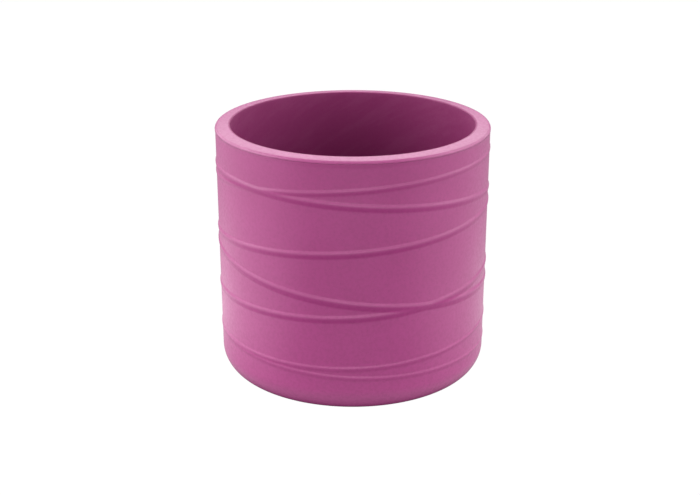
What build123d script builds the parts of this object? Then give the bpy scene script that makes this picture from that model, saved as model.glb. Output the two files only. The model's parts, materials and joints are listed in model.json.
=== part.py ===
"""Round glazed ceramic plant pot with a low relief of crossing ribs, a drain plug and four foot pads.

Millimetres, +Z up. The origin is on the pot's axis, in the plane that the foot pads stand on.
The front of the pot faces -Y. Angles round the pot are counted from the front, growing towards +X.
"""

import os
from math import cos, radians, sin
from typing import NamedTuple

from build123d import *

# Foot pads
pad_radius = 7.0
pad_thickness = 2.0
pad_circle_radius = 48.0
pad_edge_round = 0.5
pad_angles = {"front_right": 45, "back_right": 135, "back_left": 225, "front_left": 315}

# Pot body: a slightly tapered outside, a straight bore and a floor
body_height = 132.2
rim_radius = 70.0
base_radius = 68.9
bore_radius = 62.4
floor_thickness = 10.0
base_round = 13.3
rim_outer_round = 2.4
rim_inner_round = 1.2
bore_corner_round = 8.0

# Underside: a flat foot ring around a shallow recess
foot_ring_inner_radius = 38.0
foot_edge_round = 0.8
recess_depth = 2.5
recess_round = 1.5

# Drain hole: a taper that the plug's stem closes, under a seat that takes its cap
seat_radius = 14.3
seat_depth = 2.5
drain_top_radius = 9.5
drain_bottom_radius = 8.5
drain_edge_round = 0.4

# Drain plug, moulded in one piece
plug_gap = 0.05
cap_radius = 14.0
cap_edge_round = 0.8
stem_overhang = 1.0
stem_end_round = 0.6
tab_width = 14.0
tab_height = 7.0
tab_thickness = 3.0
tab_hole_radius = 2.2
tab_shoulder_round = 6.4
tab_edge_round = 0.6

# Ribs
rib_width = 4.4
rib_height = 0.5
rib_step = 15  # degrees between the points that a rib's path passes through
rib_start = 30  # angle where a path starts. Its two halves meet there and on the far side

# Levels above the ground
foot_z = pad_thickness
rim_z = foot_z + body_height
floor_z = foot_z + floor_thickness
recess_z = foot_z + recess_depth
seat_z = floor_z - seat_depth


class Rib(NamedTuple):
    """A closed ring round the pot, at a height above the foot, tilted and a little waved."""

    height: float
    tilt: float  # rise above and fall below that height, once per turn
    tilt_angle: float  # where the tilt is highest
    wave: float  # a smaller rise and fall, twice per turn
    wave_angle: float


ribs = [
    Rib(height=114.7, tilt=6.4, tilt_angle=72, wave=0.5, wave_angle=-34),
    Rib(height=106.5, tilt=7.3, tilt_angle=-64, wave=0.7, wave_angle=56),
    Rib(height=86.3, tilt=7.4, tilt_angle=94, wave=1.1, wave_angle=-45),
    Rib(height=62.7, tilt=11.1, tilt_angle=-109, wave=1.2, wave_angle=37),
    Rib(height=54.3, tilt=6.4, tilt_angle=103, wave=1.2, wave_angle=-58),
    Rib(height=28.2, tilt=3.6, tilt_angle=127, wave=0.9, wave_angle=-75),
    Rib(height=21.3, tilt=3.3, tilt_angle=-94, wave=0.8, wave_angle=84),
]


def wall_radius(z):
    """Radius of the outer wall at a height above the ground."""
    return base_radius + (rim_radius - base_radius) * (z - foot_z) / body_height


def rib_point(rib, angle):
    """The point on the wall that a rib passes through at an angle from the front."""
    tilt = rib.tilt * cos(radians(angle - rib.tilt_angle))
    wave = rib.wave * cos(2 * radians(angle - rib.wave_angle))
    z = foot_z + rib.height + tilt + wave
    return (wall_radius(z) * sin(radians(angle)), -wall_radius(z) * cos(radians(angle)), z)


def corner(sketch, x, z):
    """The sketch vertex nearest to a place given by radius and height."""
    return sketch.vertices().sort_by_distance((x, z, 0))[0]


# Pot body, one fired piece: the turned shape first, then the ribs that stand on its wall
with BuildPart() as pot_body:
    with BuildSketch(Plane.XZ) as section:
        with BuildLine():
            Polyline(
                (drain_bottom_radius, recess_z),
                (foot_ring_inner_radius, recess_z),
                (foot_ring_inner_radius, foot_z),
                (base_radius, foot_z),
                (rim_radius, rim_z),
                (bore_radius, rim_z),
                (bore_radius, floor_z),
                (seat_radius, floor_z),
                (seat_radius, seat_z),
                (drain_top_radius, seat_z),
                close=True,
            )
        make_face()
        fillet(corner(section, base_radius, foot_z), base_round)
        fillet(corner(section, rim_radius, rim_z), rim_outer_round)
        fillet(corner(section, bore_radius, rim_z), rim_inner_round)
        fillet(corner(section, bore_radius, floor_z), bore_corner_round)
        fillet(corner(section, foot_ring_inner_radius, recess_z), recess_round)
        fillet(corner(section, foot_ring_inner_radius, foot_z), foot_edge_round)
        fillet(corner(section, seat_radius, floor_z), drain_edge_round)
        fillet(corner(section, drain_bottom_radius, recess_z), drain_edge_round)
    revolve(axis=Axis.Z)
    for rib in ribs:
        with BuildLine(mode=Mode.PRIVATE):
            turn = range(rib_start, rib_start + 360, rib_step)
            ring = Spline(*[rib_point(rib, angle) for angle in turn], periodic=True)
        for half in (ring.trim(0, 0.5), ring.trim(0.5, 1)):
            start = half @ 0
            with BuildSketch(Plane(origin=start, x_dir=(start.X, start.Y, 0), z_dir=half % 0)):
                Ellipse(rib_height, rib_width / 2)
            sweep(path=half)
pot_body.part.label = "pot_body"

# Drain plug: a cap flush with the floor, a tapered stem and a pull tab with an eye
stem_taper = (drain_top_radius - drain_bottom_radius) / (seat_z - recess_z)
stem_bottom_z = recess_z - stem_overhang
stem_bottom_radius = drain_top_radius - plug_gap - stem_taper * (seat_z - stem_bottom_z)
with BuildPart() as drain_plug:
    with BuildSketch(Plane.XZ) as section:
        with BuildLine():
            Polyline(
                (0, stem_bottom_z),
                (stem_bottom_radius, stem_bottom_z),
                (drain_top_radius - plug_gap, seat_z + plug_gap),
                (cap_radius, seat_z + plug_gap),
                (cap_radius, floor_z),
                (0, floor_z),
                close=True,
            )
        make_face()
        fillet(corner(section, cap_radius, floor_z), cap_edge_round)
        fillet(corner(section, stem_bottom_radius, stem_bottom_z), stem_end_round)
    revolve(axis=Axis.Z)
    with BuildSketch(Plane.XZ) as tab:
        with Locations((0, floor_z)):
            Rectangle(tab_width, tab_height, align=(Align.CENTER, Align.MIN))
        fillet(tab.vertices().group_by(Axis.Y)[-1], tab_shoulder_round)
        with Locations((0, floor_z + tab_height / 2)):
            Circle(tab_hole_radius, mode=Mode.SUBTRACT)
    extrude(amount=tab_thickness / 2, both=True)
    tab_outline = drain_plug.faces().filter_by(Axis.Y).edges()
    fillet(tab_outline.filter_by(lambda edge: edge.center().Z > floor_z + 0.1), tab_edge_round)
drain_plug.part.label = "drain_plug"

# Foot pads, each a disc of felt stuck under the foot ring
foot_pads = []
for side, angle in pad_angles.items():
    with BuildPart() as foot_pad:
        with BuildSketch():
            with PolarLocations(pad_circle_radius, 1, start_angle=angle - 90):
                Circle(pad_radius)
        extrude(amount=pad_thickness)
        fillet(foot_pad.edges().group_by(Axis.Z)[0], pad_edge_round)
    foot_pad.part.label = f"foot_pad_{side}"
    foot_pads.append(foot_pad)

os.makedirs("parts", exist_ok=True)
for piece in [pot_body, drain_plug, *foot_pads]:
    export_step(piece.part, f"parts/{piece.part.label}.step")
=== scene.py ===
"""The visible plant pot: a satin glazed body with raised crossing ribs, a silicone plug and felt pads.

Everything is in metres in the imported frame: +Z up, the front of the rib pattern towards -Y. Angles round
the pot are counted from the front, growing towards +X. Places come from the frame, and sizes are named.
"""

import json
from math import ceil, copysign, cos, pi, radians, sin, tan
from typing import NamedTuple

import bpy
import numpy as np
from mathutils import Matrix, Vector, noise


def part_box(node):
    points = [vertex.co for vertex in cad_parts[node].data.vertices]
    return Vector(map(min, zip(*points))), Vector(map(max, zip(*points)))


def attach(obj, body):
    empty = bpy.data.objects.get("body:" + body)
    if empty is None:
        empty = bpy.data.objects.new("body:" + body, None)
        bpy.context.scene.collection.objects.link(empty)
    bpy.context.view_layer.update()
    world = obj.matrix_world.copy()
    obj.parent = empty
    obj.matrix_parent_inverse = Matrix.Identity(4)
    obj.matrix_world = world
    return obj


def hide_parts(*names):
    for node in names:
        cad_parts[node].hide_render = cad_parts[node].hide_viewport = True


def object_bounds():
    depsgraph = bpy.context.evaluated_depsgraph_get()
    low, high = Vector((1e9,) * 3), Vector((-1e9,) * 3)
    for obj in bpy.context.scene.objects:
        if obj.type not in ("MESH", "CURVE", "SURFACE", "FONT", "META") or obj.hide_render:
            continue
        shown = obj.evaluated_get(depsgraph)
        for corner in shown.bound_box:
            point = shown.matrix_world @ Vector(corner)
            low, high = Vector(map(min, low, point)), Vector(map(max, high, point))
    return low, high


MM = 0.001

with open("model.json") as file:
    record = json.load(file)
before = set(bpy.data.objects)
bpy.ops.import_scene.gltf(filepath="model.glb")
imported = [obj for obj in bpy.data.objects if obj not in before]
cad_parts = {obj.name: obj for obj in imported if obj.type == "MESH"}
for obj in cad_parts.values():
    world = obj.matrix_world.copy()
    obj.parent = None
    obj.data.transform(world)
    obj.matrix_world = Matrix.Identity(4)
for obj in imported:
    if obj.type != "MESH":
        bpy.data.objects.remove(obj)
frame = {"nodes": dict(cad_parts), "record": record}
cad_low, cad_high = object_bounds()
mounts = {mount["name"]: mount for mount in frame["record"]["mounts"]}

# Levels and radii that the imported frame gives
body_low, body_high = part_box("pot_body")
foot_z = body_low.z
rim_z = body_high.z
floor_z = mounts["inner_floor"]["pos_m"][2]
bore_radius = mounts["mouth"]["dims"]["r_mm"] * MM

# Outside of the pot
rim_radius = 70.0 * MM
base_radius = 68.9 * MM
base_round = 13.3 * MM
rim_outer_round = 1.5 * MM
rim_fall = 0.55 * MM  # from the crest beside the bore out to the corner
rim_crest_width = 1.3 * MM
rim_crest_round = 0.65 * MM
lip_proud = 0.22 * MM  # of the rim's outer edge over the wall below it
lip_top_z = rim_z - 2.0 * MM
lip_bottom_z = rim_z - 3.8 * MM
lip_round = 6.0 * MM
bore_edge_round = 0.5 * MM

# The inside's darker tint, painted shade inside the pot, takes in the rim's inner edge and the inner
# floor, but not the plug's seat
shade_radius = bore_radius + 1.0 * MM
shade_low_z = floor_z - 0.1 * MM

# Inside and underside
bore_corner_round = 8.0 * MM
foot_ring_inner_radius = 38.0 * MM
recess_z = foot_z + 2.5 * MM
recess_round = 1.5 * MM
foot_edge_round = 0.8 * MM
foot_edge_step = 0.5 * MM
seat_radius = 14.3 * MM
seat_z = floor_z - 2.5 * MM
drain_top_radius = 9.5 * MM
drain_bottom_radius = 8.5 * MM
drain_edge_round = 0.4 * MM

# Bare clay, wiped clean on the flat of the foot ring
wipe_height = 0.9 * MM
wipe_fade = 0.5 * MM
wipe_inner_radius = foot_ring_inner_radius - 1.0 * MM
wipe_outer_radius = base_radius - base_round + 6.0 * MM

# Ribs: a narrow flank above the crest and a wider one below
rib_height = 0.45 * MM  # of a rib of size 1
rib_crest_rise = 0.4 * MM  # of the crest above the middle of the rib
rib_upper_flank = 1.35 * MM
rib_lower_flank = 3.2 * MM
rib_roundness = 1.75  # 1 gives a bead with a crease at its foot, 2 or more a soft swelling
rib_blend = 4.0  # higher gives a sharper crease where ribs cross

# Mesh steps
wall_step = 0.45 * MM
plain_step = 2.0 * MM
round_segments = 6  # least number of steps round an edge
turn_columns = 512


class Rib(NamedTuple):
    """A closed ring round the pot, at a height above the foot, tilted and a little waved."""

    height: float
    tilt: float  # rise above and fall below that height, once per turn
    tilt_angle: float  # where the tilt is highest
    wave: float  # a smaller rise and fall, twice per turn
    wave_angle: float
    size: float = 1.0  # scales its height and its width

    def level(self, angle):
        """Height above the ground at an angle from the front, in radians."""
        tilt = self.tilt * np.cos(angle - radians(self.tilt_angle))
        wave = self.wave * np.cos(2 * (angle - radians(self.wave_angle)))
        return foot_z + (self.height + tilt + wave) * MM


ribs = [
    Rib(height=114.7, tilt=6.4, tilt_angle=72, wave=0.5, wave_angle=-34, size=0.8),
    Rib(height=106.5, tilt=7.3, tilt_angle=-64, wave=0.7, wave_angle=56),
    Rib(height=86.3, tilt=7.4, tilt_angle=94, wave=1.1, wave_angle=-45),
    Rib(height=62.7, tilt=11.1, tilt_angle=-109, wave=1.2, wave_angle=37, size=1.1),
    Rib(height=54.3, tilt=6.4, tilt_angle=103, wave=1.2, wave_angle=-58),
    Rib(height=28.2, tilt=3.6, tilt_angle=127, wave=0.9, wave_angle=-75, size=0.75),
    Rib(height=21.3, tilt=3.3, tilt_angle=-94, wave=0.8, wave_angle=84, size=0.7),
]


# ---------------------------------------------------------------- outlines and turned meshes


class Corner(NamedTuple):
    """A corner of a turned outline: radius, height, edge round, and the step of the stretch after it."""

    r: float
    z: float
    round: float = 0.0
    step: float = plain_step


def round_corner(before, corner, after):
    """The points of one corner's arc, or the bare corner where it has no round."""
    here = np.array((corner.r, corner.z))
    if corner.round == 0:
        return [here]
    back = np.array((before.r, before.z)) - here
    ahead = np.array((after.r, after.z)) - here
    back /= np.linalg.norm(back)
    ahead /= np.linalg.norm(ahead)
    half = np.arccos(np.clip(back @ ahead, -1, 1)) / 2
    middle = (back + ahead) / np.linalg.norm(back + ahead)
    centre = here + middle * corner.round / sin(half)
    start = here + back * corner.round / tan(half) - centre
    end = here + ahead * corner.round / tan(half) - centre
    sweep = pi - 2 * half
    steps = max(round_segments, ceil(sweep * corner.round / wall_step))
    shares = np.linspace(0, 1, steps + 1)
    return [
        centre + (sin((1 - t) * sweep) * start + sin(t * sweep) * end) / sin(sweep)
        for t in shares
    ]


def outline(corners):
    """Points (r, z) round a closed outline, with its corners rounded and its long stretches divided."""
    count = len(corners)
    arcs = [
        round_corner(corners[i - 1], corners[i], corners[(i + 1) % count])
        for i in range(count)
    ]
    points = []
    for i, arc in enumerate(arcs):
        points += arc
        start = arc[-1]
        end = arcs[(i + 1) % count][0]
        parts = ceil(np.linalg.norm(end - start) / corners[i].step)
        points += [start + (end - start) * k / parts for k in range(1, parts)]
    return np.array(points)


def mesh_object(name, vertices, faces, material):
    """A smooth-shaded mesh object in the scene."""
    mesh = bpy.data.meshes.new(name)
    mesh.from_pydata(vertices, [], faces)
    mesh.validate()
    mesh.shade_smooth()
    mesh.materials.append(material)
    piece = bpy.data.objects.new(name, mesh)
    bpy.context.scene.collection.objects.link(piece)
    return piece


def turned_faces(rows, columns):
    """Quads of a closed outline turned right round the axis."""
    row, column = np.meshgrid(np.arange(rows), np.arange(columns), indexing="ij")
    next_row = (row + 1) % rows
    next_column = (column + 1) % columns
    corners = (
        row * columns + column,
        row * columns + next_column,
        next_row * columns + next_column,
        next_row * columns + column,
    )
    return np.stack(corners, axis=-1).reshape(-1, 4).tolist()


# ---------------------------------------------------------------- materials


class Shader:
    """A node material, built by naming each node's inputs."""

    def __init__(self, name):
        self.material = bpy.data.materials.new(name)
        self.material.use_nodes = True
        self.tree = self.material.node_tree
        self.tree.nodes.clear()

    def feed(self, socket, value):
        """Gives an input a constant or another node's output."""
        if isinstance(value, bpy.types.NodeSocket):
            self.tree.links.new(value, socket)
        else:
            socket.default_value = value

    def node(self, kind, inputs=None, **settings):
        """Adds a node, with its settings and what its inputs are fed with."""
        made = self.tree.nodes.new("ShaderNode" + kind)
        for key, value in settings.items():
            setattr(made, key, value)
        for key, value in (inputs or {}).items():
            self.feed(made.inputs[key], value)
        return made

    def noise(self, vector, feature, detail=2.0, roughness=0.5):
        """Noise from 0 to 1 with features of about the given size."""
        inputs = {"Vector": vector, "Scale": 1 / feature, "Detail": detail, "Roughness": roughness}
        return self.node("TexNoise", inputs).outputs["Fac"]

    def remap(self, value, low, high, to_low, to_high):
        """The value's range from low to high, spread smoothly over another range."""
        inputs = {
            "Value": value,
            "From Min": low,
            "From Max": high,
            "To Min": to_low,
            "To Max": to_high,
        }
        made = self.node("MapRange", inputs, interpolation_type="SMOOTHSTEP")
        return made.outputs["Result"]

    def blend(self, share, first, second):
        """A colour between two others. The node's colour sockets go by number, as their names repeat."""
        made = self.node("Mix", {0: share, 6: first, 7: second}, data_type="RGBA")
        return made.outputs[2]

    def math(self, operation, first, second):
        """One arithmetic step on two values."""
        return self.node("Math", {0: first, 1: second}, operation=operation).outputs["Value"]

    def bump(self, height, depth, under=None):
        """A surface normal bumped by a height from 0 to 1 that stands for the given depth."""
        inputs = {"Height": height, "Distance": depth, "Strength": 1.0}
        if under is not None:
            inputs["Normal"] = under
        return self.node("Bump", inputs).outputs["Normal"]

    def attribute(self, name):
        """A value stored on the mesh."""
        return self.node("Attribute", attribute_name=name).outputs["Fac"]

    def place(self):
        """The position in the object's own space, in metres."""
        return self.node("TexCoord").outputs["Object"]

    def slanted(self, vector, slope, squeeze):
        """The position for streaks that lean by a slope in degrees, squeezed to be thinner than long."""
        inputs = {
            "Vector": vector,
            "Rotation": (0, -radians(slope), 0),
            "Scale": (1, 1, 1 / squeeze),
        }
        return self.node("Mapping", inputs, vector_type="TEXTURE").outputs["Vector"]

    def finish(self, **inputs):
        """Ends in a Principled surface with these inputs, and gives the material."""
        named = {key.replace("_", " "): value for key, value in inputs.items()}
        surface = self.node("BsdfPrincipled", named)
        self.node("OutputMaterial", {"Surface": surface.outputs["BSDF"]})
        return self.material


def glaze_material():
    """Magenta satin glaze: paler on the ribs' crests, paler towards the foot as painted light, darker and
    duller under the ribs as painted shade, darker inside as painted shade, streaked inside, and wiped off
    the foot ring."""
    plain_tint = (0.272, 0.0336, 0.148, 1)
    cloud_tint = (0.288, 0.0369, 0.159, 1)
    painted_foot_light_tint = (0.345, 0.0445, 0.190, 1)
    mottle_tint = (0.216, 0.0255, 0.117, 1)
    crest_tint = (0.29, 0.050, 0.17, 1)
    speck_tint = (0.15, 0.013, 0.076, 1)
    rib_shade_tint = (0.185, 0.018, 0.095, 1)
    painted_inside_shade_tint = (0.180, 0.0060, 0.085, 1)
    streak_tint = (0.22, 0.028, 0.12, 1)
    pale_clay = (0.80, 0.73, 0.63, 1)
    dark_clay = (0.62, 0.53, 0.43, 1)

    # The most that each tint covers of the one under it
    painted_foot_light_share = 0.7
    mottle_share = 0.35
    crest_share = 0.3
    speck_share = 0.25
    rib_shade_share = 0.2
    streak_share = 0.3

    cloud_size = 26 * MM
    mottle_size = 1.6 * MM
    speck_spacing = 3.4 * MM
    streak_size = 24 * MM
    streak_slope = 32
    streak_squeeze = 4.5
    streak_relief = 0.12 * MM
    peel_size = 2.2 * MM
    peel_relief = 0.02 * MM
    clay_grain_size = 0.5 * MM
    clay_relief = 0.12 * MM

    glossy_roughness = 0.30
    satin_roughness = 0.38
    cloudy_roughness = 0.06  # added where the glaze is cloudy
    inside_roughness = 0.3  # added inside
    clay_roughness = 0.92
    specular = 0.5
    rib_shade_specular = 0.17

    shader = Shader("satin_glaze")
    place = shader.place()
    relief = shader.attribute("relief")
    painted_rib_shade = shader.attribute("painted_rib_shade")
    bare = shader.attribute("bare")
    inside = shader.attribute("inside")

    cloudy = shader.noise(place, cloud_size, detail=3)
    mottled = shader.noise(place, mottle_size, detail=4, roughness=0.6)
    streaks = shader.noise(
        shader.slanted(place, streak_slope, streak_squeeze), streak_size, detail=4, roughness=0.6
    )
    speck_cells = shader.node("TexVoronoi", {"Vector": place, "Scale": 1 / speck_spacing})
    specks = shader.remap(speck_cells.outputs["Distance"], 0.05, 0.11, 1, 0)
    height = shader.node("SeparateXYZ", {"Vector": place}).outputs["Z"]

    tint = shader.blend(shader.remap(cloudy, 0.3, 0.7, 0, 1), plain_tint, cloud_tint)
    # Painted light: the glaze turns paler towards the foot, standing in for light thrown up from the floor
    tint = shader.blend(shader.remap(height, rim_z, foot_z, 0, painted_foot_light_share), tint, painted_foot_light_tint)
    tint = shader.blend(shader.remap(mottled, 0.35, 0.7, 0, mottle_share), tint, mottle_tint)
    tint = shader.blend(shader.remap(relief, 0.45, 1.0, 0, crest_share), tint, crest_tint)
    tint = shader.blend(shader.math("MULTIPLY", specks, speck_share), tint, speck_tint)
    # Painted shade: darker glaze along each rib's lower flank, where the shade under the rib falls
    tint = shader.blend(shader.math("MULTIPLY", painted_rib_shade, rib_shade_share), tint, rib_shade_tint)
    # Painted shade: a darker tint all over the inside, where the pot's own shade falls
    tint = shader.blend(inside, tint, painted_inside_shade_tint)
    streaked = shader.remap(streaks, 0.42, 0.68, 0, streak_share)
    tint = shader.blend(shader.math("MULTIPLY", streaked, inside), tint, streak_tint)

    clay_grain = shader.noise(place, clay_grain_size, detail=5, roughness=0.7)
    clay = shader.blend(clay_grain, dark_clay, pale_clay)
    colour = shader.blend(bare, tint, clay)

    rough = shader.remap(mottled, 0.3, 0.7, glossy_roughness, satin_roughness)
    rough = shader.math("ADD", rough, shader.math("MULTIPLY", cloudy, cloudy_roughness))
    rough = shader.math("ADD", rough, shader.math("MULTIPLY", inside, inside_roughness))
    rough = shader.math("MAXIMUM", rough, shader.math("MULTIPLY", bare, clay_roughness))

    normal = shader.bump(shader.math("MULTIPLY", streaks, inside), streak_relief)
    normal = shader.bump(shader.noise(place, peel_size, detail=2), peel_relief, under=normal)
    normal = shader.bump(shader.math("MULTIPLY", clay_grain, bare), clay_relief, under=normal)
    return shader.finish(
        Base_Color=colour,
        Roughness=rough,
        # Painted shade: weaker reflections along each rib's lower flank
        Specular_IOR_Level=shader.remap(painted_rib_shade, 0, 1, specular, rib_shade_specular),
        Normal=normal,
        IOR=1.5,
    )


def silicone_material():
    """Soft dark grey moulded silicone, faintly see-through, with a dusty bloom."""
    dark_grey = (0.175, 0.167, 0.16, 1)
    bloom_grey = (0.265, 0.255, 0.24, 1)
    bloom_size = 5 * MM
    bloom_relief = 0.08 * MM
    grain_size = 0.35 * MM
    grain_relief = 0.02 * MM
    glow_depth = (1.5 * MM, 1.3 * MM, 1.2 * MM)

    shader = Shader("moulded_silicone")
    place = shader.place()
    bloom = shader.noise(place, bloom_size, detail=5, roughness=0.6)
    grain = shader.noise(place, grain_size, detail=3)
    normal = shader.bump(grain, grain_relief)
    normal = shader.bump(bloom, bloom_relief, under=normal)
    return shader.finish(
        Base_Color=shader.blend(bloom, dark_grey, bloom_grey),
        Roughness=shader.remap(bloom, 0.3, 0.7, 0.5, 0.72),
        Subsurface_Weight=0.25,
        Subsurface_Radius=glow_depth,
        Normal=normal,
        IOR=1.41,
    )


def felt_material():
    """Pressed grey-brown felt: tangled fibres with a soft sheen."""
    dark_fibre = (0.10, 0.09, 0.085, 1)
    pale_fibre = (0.27, 0.25, 0.23, 1)
    heather_fibre = (0.36, 0.33, 0.30, 1)
    heather_share = 0.5
    heather_size = 2.5 * MM
    tangle_size = 0.7 * MM
    tangle_relief = 0.35 * MM
    fibre_spacing = 1.5 * MM
    fibre_relief = 0.12 * MM

    shader = Shader("pressed_felt")
    place = shader.place()
    tangle = shader.noise(place, tangle_size, detail=8, roughness=0.75)
    wave = {
        "Vector": place,
        "Scale": 1 / fibre_spacing,
        "Distortion": 14.0,
        "Detail": 4.0,
        "Detail Scale": 2.5,
    }
    fibres = shader.node("TexWave", wave).outputs["Fac"]
    heather = shader.remap(shader.noise(place, heather_size, detail=3), 0.5, 0.8, 0, heather_share)
    colour = shader.blend(tangle, dark_fibre, pale_fibre)
    colour = shader.blend(heather, colour, heather_fibre)
    normal = shader.bump(tangle, tangle_relief)
    normal = shader.bump(fibres, fibre_relief, under=normal)
    return shader.finish(
        Base_Color=colour, Roughness=0.95, Sheen_Weight=0.6, Sheen_Roughness=0.5, Normal=normal
    )


# ---------------------------------------------------------------- pot body


def relief_height(angle, z):
    """How far the ribs stand proud of the wall, as a share of a rib's height."""
    total = np.zeros_like(z)
    for rib in ribs:
        above = (z - rib.level(angle) - rib_crest_rise) / rib.size
        share = np.where(above > 0, above / rib_upper_flank, above / rib_lower_flank)
        rise = rib.size * np.clip(1 - share**2, 0, 1) ** rib_roundness
        total += rise**rib_blend
    return total ** (1 / rib_blend)


def rib_shade_depth(angle, z):
    """Share of painted shade along the lower flank of each rib, laid on as darker, duller glaze, most of
    it half way down.
    """
    depth = np.zeros_like(z)
    for rib in ribs:
        below = (rib.level(angle) + rib_crest_rise - z) / rib.size / rib_lower_flank
        depth = np.maximum(depth, rib.size**2 * 4 * below * (1 - below))
    return np.minimum(depth, 1)


def build_pot_body(material):
    """The turned body with its ribs raised out of the mesh, and the attributes that its glaze reads."""
    corners = [
        Corner(drain_bottom_radius, recess_z, drain_edge_round),
        Corner(foot_ring_inner_radius, recess_z, recess_round, foot_edge_step),
        Corner(foot_ring_inner_radius, foot_z, foot_edge_round),
        Corner(base_radius, foot_z, base_round, wall_step),
        Corner(rim_radius, lip_bottom_z, lip_round, wall_step),
        Corner(rim_radius + lip_proud, lip_top_z, lip_round, wall_step),
        Corner(rim_radius + lip_proud, rim_z - rim_fall, rim_outer_round),
        Corner(bore_radius + rim_crest_width, rim_z, rim_crest_round),
        Corner(bore_radius, rim_z, bore_edge_round),
        Corner(bore_radius, floor_z, bore_corner_round),
        Corner(seat_radius, floor_z, drain_edge_round),
        Corner(seat_radius, seat_z),
        Corner(drain_top_radius, seat_z, drain_edge_round),
    ]
    profile = outline(corners)
    angles = np.linspace(0, 2 * pi, turn_columns, endpoint=False)
    r, angle = np.meshgrid(profile[:, 0], angles, indexing="ij")
    z = np.meshgrid(profile[:, 1], angles, indexing="ij")[0]

    outside = r > shade_radius
    relief = np.where(outside, relief_height(angle, z), 0)
    r = r + rib_height * relief
    vertices = np.stack((r * np.sin(angle), -r * np.cos(angle), z), axis=-1).reshape(-1, 3)
    faces = turned_faces(len(profile), turn_columns)
    piece = mesh_object("pot_glazed_body", vertices.tolist(), faces, material)

    foot_wipe = np.clip((foot_z + wipe_height - z) / wipe_fade, 0, 1)
    foot_wipe *= (r > wipe_inner_radius) & (r < wipe_outer_radius)
    values = {
        "relief": relief,
        # Painted shade under the ribs
        "painted_rib_shade": np.where(outside, rib_shade_depth(angle, z), 0),
        "bare": foot_wipe,
        "inside": np.where((r < shade_radius) & (z > shade_low_z), 1.0, 0.0),
    }
    for name, value in values.items():
        attribute = piece.data.attributes.new(name, "FLOAT", "POINT")
        attribute.data.foreach_set("value", value.ravel().astype(np.float32))
    return piece


# ---------------------------------------------------------------- foot pads

pad_fuzz = 0.12 * MM
pad_fuzz_fine = 0.45 * MM  # size of the smaller and larger tufts
pad_fuzz_coarse = 1.1 * MM
pad_side_power = 0.22  # 1 would give a ball, and 0 a straight side or a flat face
pad_face_power = 0.5
pad_rings = 26
pad_columns = 96
pad_seed = 1  # without a seed, the fuzz would differ from run to run


def build_pad(name, low, high, material):
    """A felt disc with a slightly swollen, fuzzy edge, squeezed flat above and below."""
    centre = (low + high) / 2
    radius = (high.x - low.x) / 2
    half = (high.z - low.z) / 2
    vertices = []
    for ring in range(pad_rings):
        turn = pi * (ring + 0.5) / pad_rings - pi / 2
        r = (radius - pad_fuzz) * cos(turn) ** pad_side_power
        z = copysign((half - pad_fuzz) * abs(sin(turn)) ** pad_face_power, turn)
        for column in range(pad_columns):
            angle = 2 * pi * column / pad_columns
            point = Vector((r * cos(angle), r * sin(angle), z)) + centre
            fine = noise.noise_vector(point / pad_fuzz_fine)
            coarse = noise.noise_vector(point / pad_fuzz_coarse)
            vertices.append(point + (fine + coarse) * pad_fuzz / 2)
    faces = [
        (
            ring * pad_columns + column,
            ring * pad_columns + (column + 1) % pad_columns,
            (ring + 1) * pad_columns + (column + 1) % pad_columns,
            (ring + 1) * pad_columns + column,
        )
        for ring in range(pad_rings - 1)
        for column in range(pad_columns)
    ]
    faces.append(tuple(reversed(range(pad_columns))))
    faces.append(tuple(range((pad_rings - 1) * pad_columns, pad_rings * pad_columns)))
    return mesh_object(name, vertices, faces, material)


# ---------------------------------------------------------------- the pieces

glaze = glaze_material()
silicone = silicone_material()
felt = felt_material()

pot = build_pot_body(glaze)
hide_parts("pot_body")
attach(pot, "pot")

plug = frame["nodes"]["drain_plug"]
plug.data.materials.clear()
plug.data.materials.append(silicone)

noise.seed_set(pad_seed)
for side in ("front_right", "back_right", "back_left", "front_left"):
    node = f"foot_pad_{side}"
    pad = build_pad(f"felt_pad_{side}", *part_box(node), felt)
    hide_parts(node)
    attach(pad, "pot")


# ---------------------------------------------------------------- floor, light and camera

floor_reach = 6.0

# Painted light: what the glowing floor throws up at the pot, by distance from the axis: close to the pot,
# half a pot's width away, further out, and added on the left and right
glow_near = 0.85
glow_middle = 0.48
glow_far = 0.52
glow_side = 1.2
glow_right_share = 0.68  # of the left side's
right_ramp = (-100 * MM, 100 * MM)  # where the left side's share gives way to the right side's
side_fan = (0.5, 1.0)  # share of the distance that is sideways, where the side glow starts and is full
near_end = (78 * MM, 108 * MM)
far_start = (140 * MM, 230 * MM)
side_start = (80 * MM, 135 * MM)
side_end = (180 * MM, 380 * MM)
side_end_share = 0.5

# The painted shadow under the pot, as the pot and as the camera see it
shadow_edge = (60 * MM, 76 * MM)
seen_shadow_edge = (42 * MM, 53 * MM)
shadow_colour = (0.03, 0.02, 0.025, 1)

# The rest of the sheet: a faint grain, burnt out to plain white for the camera
seen_white = 1.02
sheet_white = (1.0, 1.0, 1.0, 1)
sheet_grain_white = (0.99, 0.99, 0.99, 1)
sheet_grain_size = 3 * MM


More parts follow.
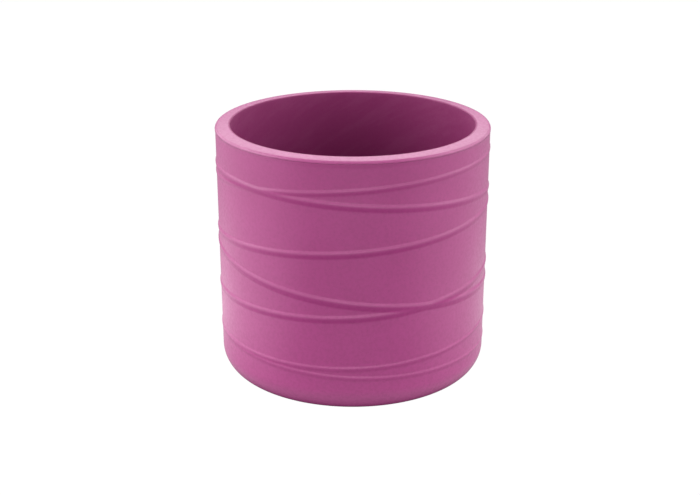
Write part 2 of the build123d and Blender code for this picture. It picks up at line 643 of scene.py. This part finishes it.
def floor_material():
    """A glowing sheet of painted light, plain white to the camera, with a painted shadow where the pot
    stands.
    """
    shader = Shader("glowing_floor")
    place = shader.place()
    from_axis = shader.node("VectorMath", {0: place}, operation="LENGTH").outputs["Value"]
    along = shader.node("SeparateXYZ", {"Vector": place}).outputs["X"]
    near = shader.remap(from_axis, *near_end, glow_near, glow_middle)
    far = shader.remap(from_axis, *far_start, 0, glow_far - glow_middle)
    sideways = shader.math("DIVIDE", shader.math("ABSOLUTE", along, 0), from_axis)
    side = shader.remap(sideways, *side_fan, 0, glow_side)
    side = shader.math("MULTIPLY", side, shader.remap(from_axis, *side_start, 0, 1))
    side = shader.math("MULTIPLY", side, shader.remap(from_axis, *side_end, 1, side_end_share))
    side = shader.math("MULTIPLY", side, shader.remap(along, *right_ramp, 1, glow_right_share))
    glow = shader.math("ADD", shader.math("ADD", near, far), side)
    seen = shader.node("LightPath").outputs["Is Camera Ray"]
    glow = shader.math("MAXIMUM", glow, shader.math("MULTIPLY", seen, seen_white))
    grain = shader.noise(place, sheet_grain_size, detail=2)
    white = shader.blend(grain, sheet_grain_white, sheet_white)
    lit = shader.remap(from_axis, *shadow_edge, 0, 1)
    seen_lit = shader.math("MULTIPLY", seen, shader.remap(from_axis, *seen_shadow_edge, 0, 1))
    colour = shader.blend(shader.math("MAXIMUM", lit, seen_lit), shadow_colour, white)
    light = shader.node("Emission", {"Color": colour, "Strength": glow})
    shader.node("OutputMaterial", {"Surface": light.outputs["Emission"]})
    return shader.material


floor = mesh_object(
    "floor",
    [(x * floor_reach, y * floor_reach, cad_low.z) for x, y in ((-1, -1), (1, -1), (1, 1), (-1, 1))],
    [(0, 1, 2, 3)],
    floor_material(),
)

room_light = 0.05
world = bpy.data.worlds.new("room")
world.use_nodes = True
background = world.node_tree.nodes["Background"]
background.inputs["Color"].default_value = (1, 1, 1, 1)
background.inputs["Strength"].default_value = room_light
bpy.context.scene.world = world

light_distance = 1.2
pot_middle = Vector((0, 0, (foot_z + rim_z) / 2))


def softbox(name, azimuth, elevation, width, height, radiance):
    """An area light aimed at the pot. Angles in degrees: azimuth from the front, growing towards +X, and
    the width and height that the pot sees."""
    across = radians(azimuth)
    up = radians(elevation)
    away = Vector((cos(up) * sin(across), -cos(up) * cos(across), sin(up)))
    light = bpy.data.lights.new(name, "AREA")
    light.shape = "RECTANGLE"
    light.size = 2 * light_distance * tan(radians(width) / 2)
    light.size_y = 2 * light_distance * tan(radians(height) / 2)
    light.energy = pi * light.size * light.size_y * radiance
    lamp = bpy.data.objects.new(name, light)
    lamp.location = pot_middle + away * light_distance
    lamp.rotation_euler = (-away).to_track_quat("-Z", "Y").to_euler()
    bpy.context.scene.collection.objects.link(lamp)


# The low boxes light the wall, and the high ones the rim and the inside. The left side is brighter
softbox("front_low", 0, 6, 44, 32, 2.3)
softbox("back_high", 180, 34, 44, 34, 2.7)
softbox("back_top", 180, 60, 60, 30, 1.4)
softbox("top", 0, 68, 80, 36, 2.3)
for side, name, share in ((-1, "left", 0.9), (1, "right", 0.7)):
    softbox(name + "_front_low", side * 45, 6, 44, 32, 1.8)
    softbox(name + "_low", side * 90, 6, 44, 32, share * 3.5)
    softbox(name + "_high", side * 90, 37, 40, 30, share * 6.1)
    softbox(name + "_back", side * 132, 24, 40, 44, share * 2.9)

# The camera looks at the pot's front from a little above its rim
camera_distance = 735.1 * MM
camera_height = 331.8 * MM
camera_side = -1.4 * MM
camera_pitch = radians(19.88)
camera_lens = 76.5
camera_sensor = 36
camera_near_limit = 0.01

view = bpy.data.cameras.new("camera")
view.lens = camera_lens
view.sensor_width = camera_sensor
view.clip_start = camera_near_limit
camera = bpy.data.objects.new("camera", view)
camera.location = (camera_side, -camera_distance, camera_height)
camera.rotation_euler = (pi / 2 - camera_pitch, 0, 0)
bpy.context.scene.collection.objects.link(camera)
bpy.context.scene.camera = camera
bpy.context.scene.view_settings.view_transform = "Standard"
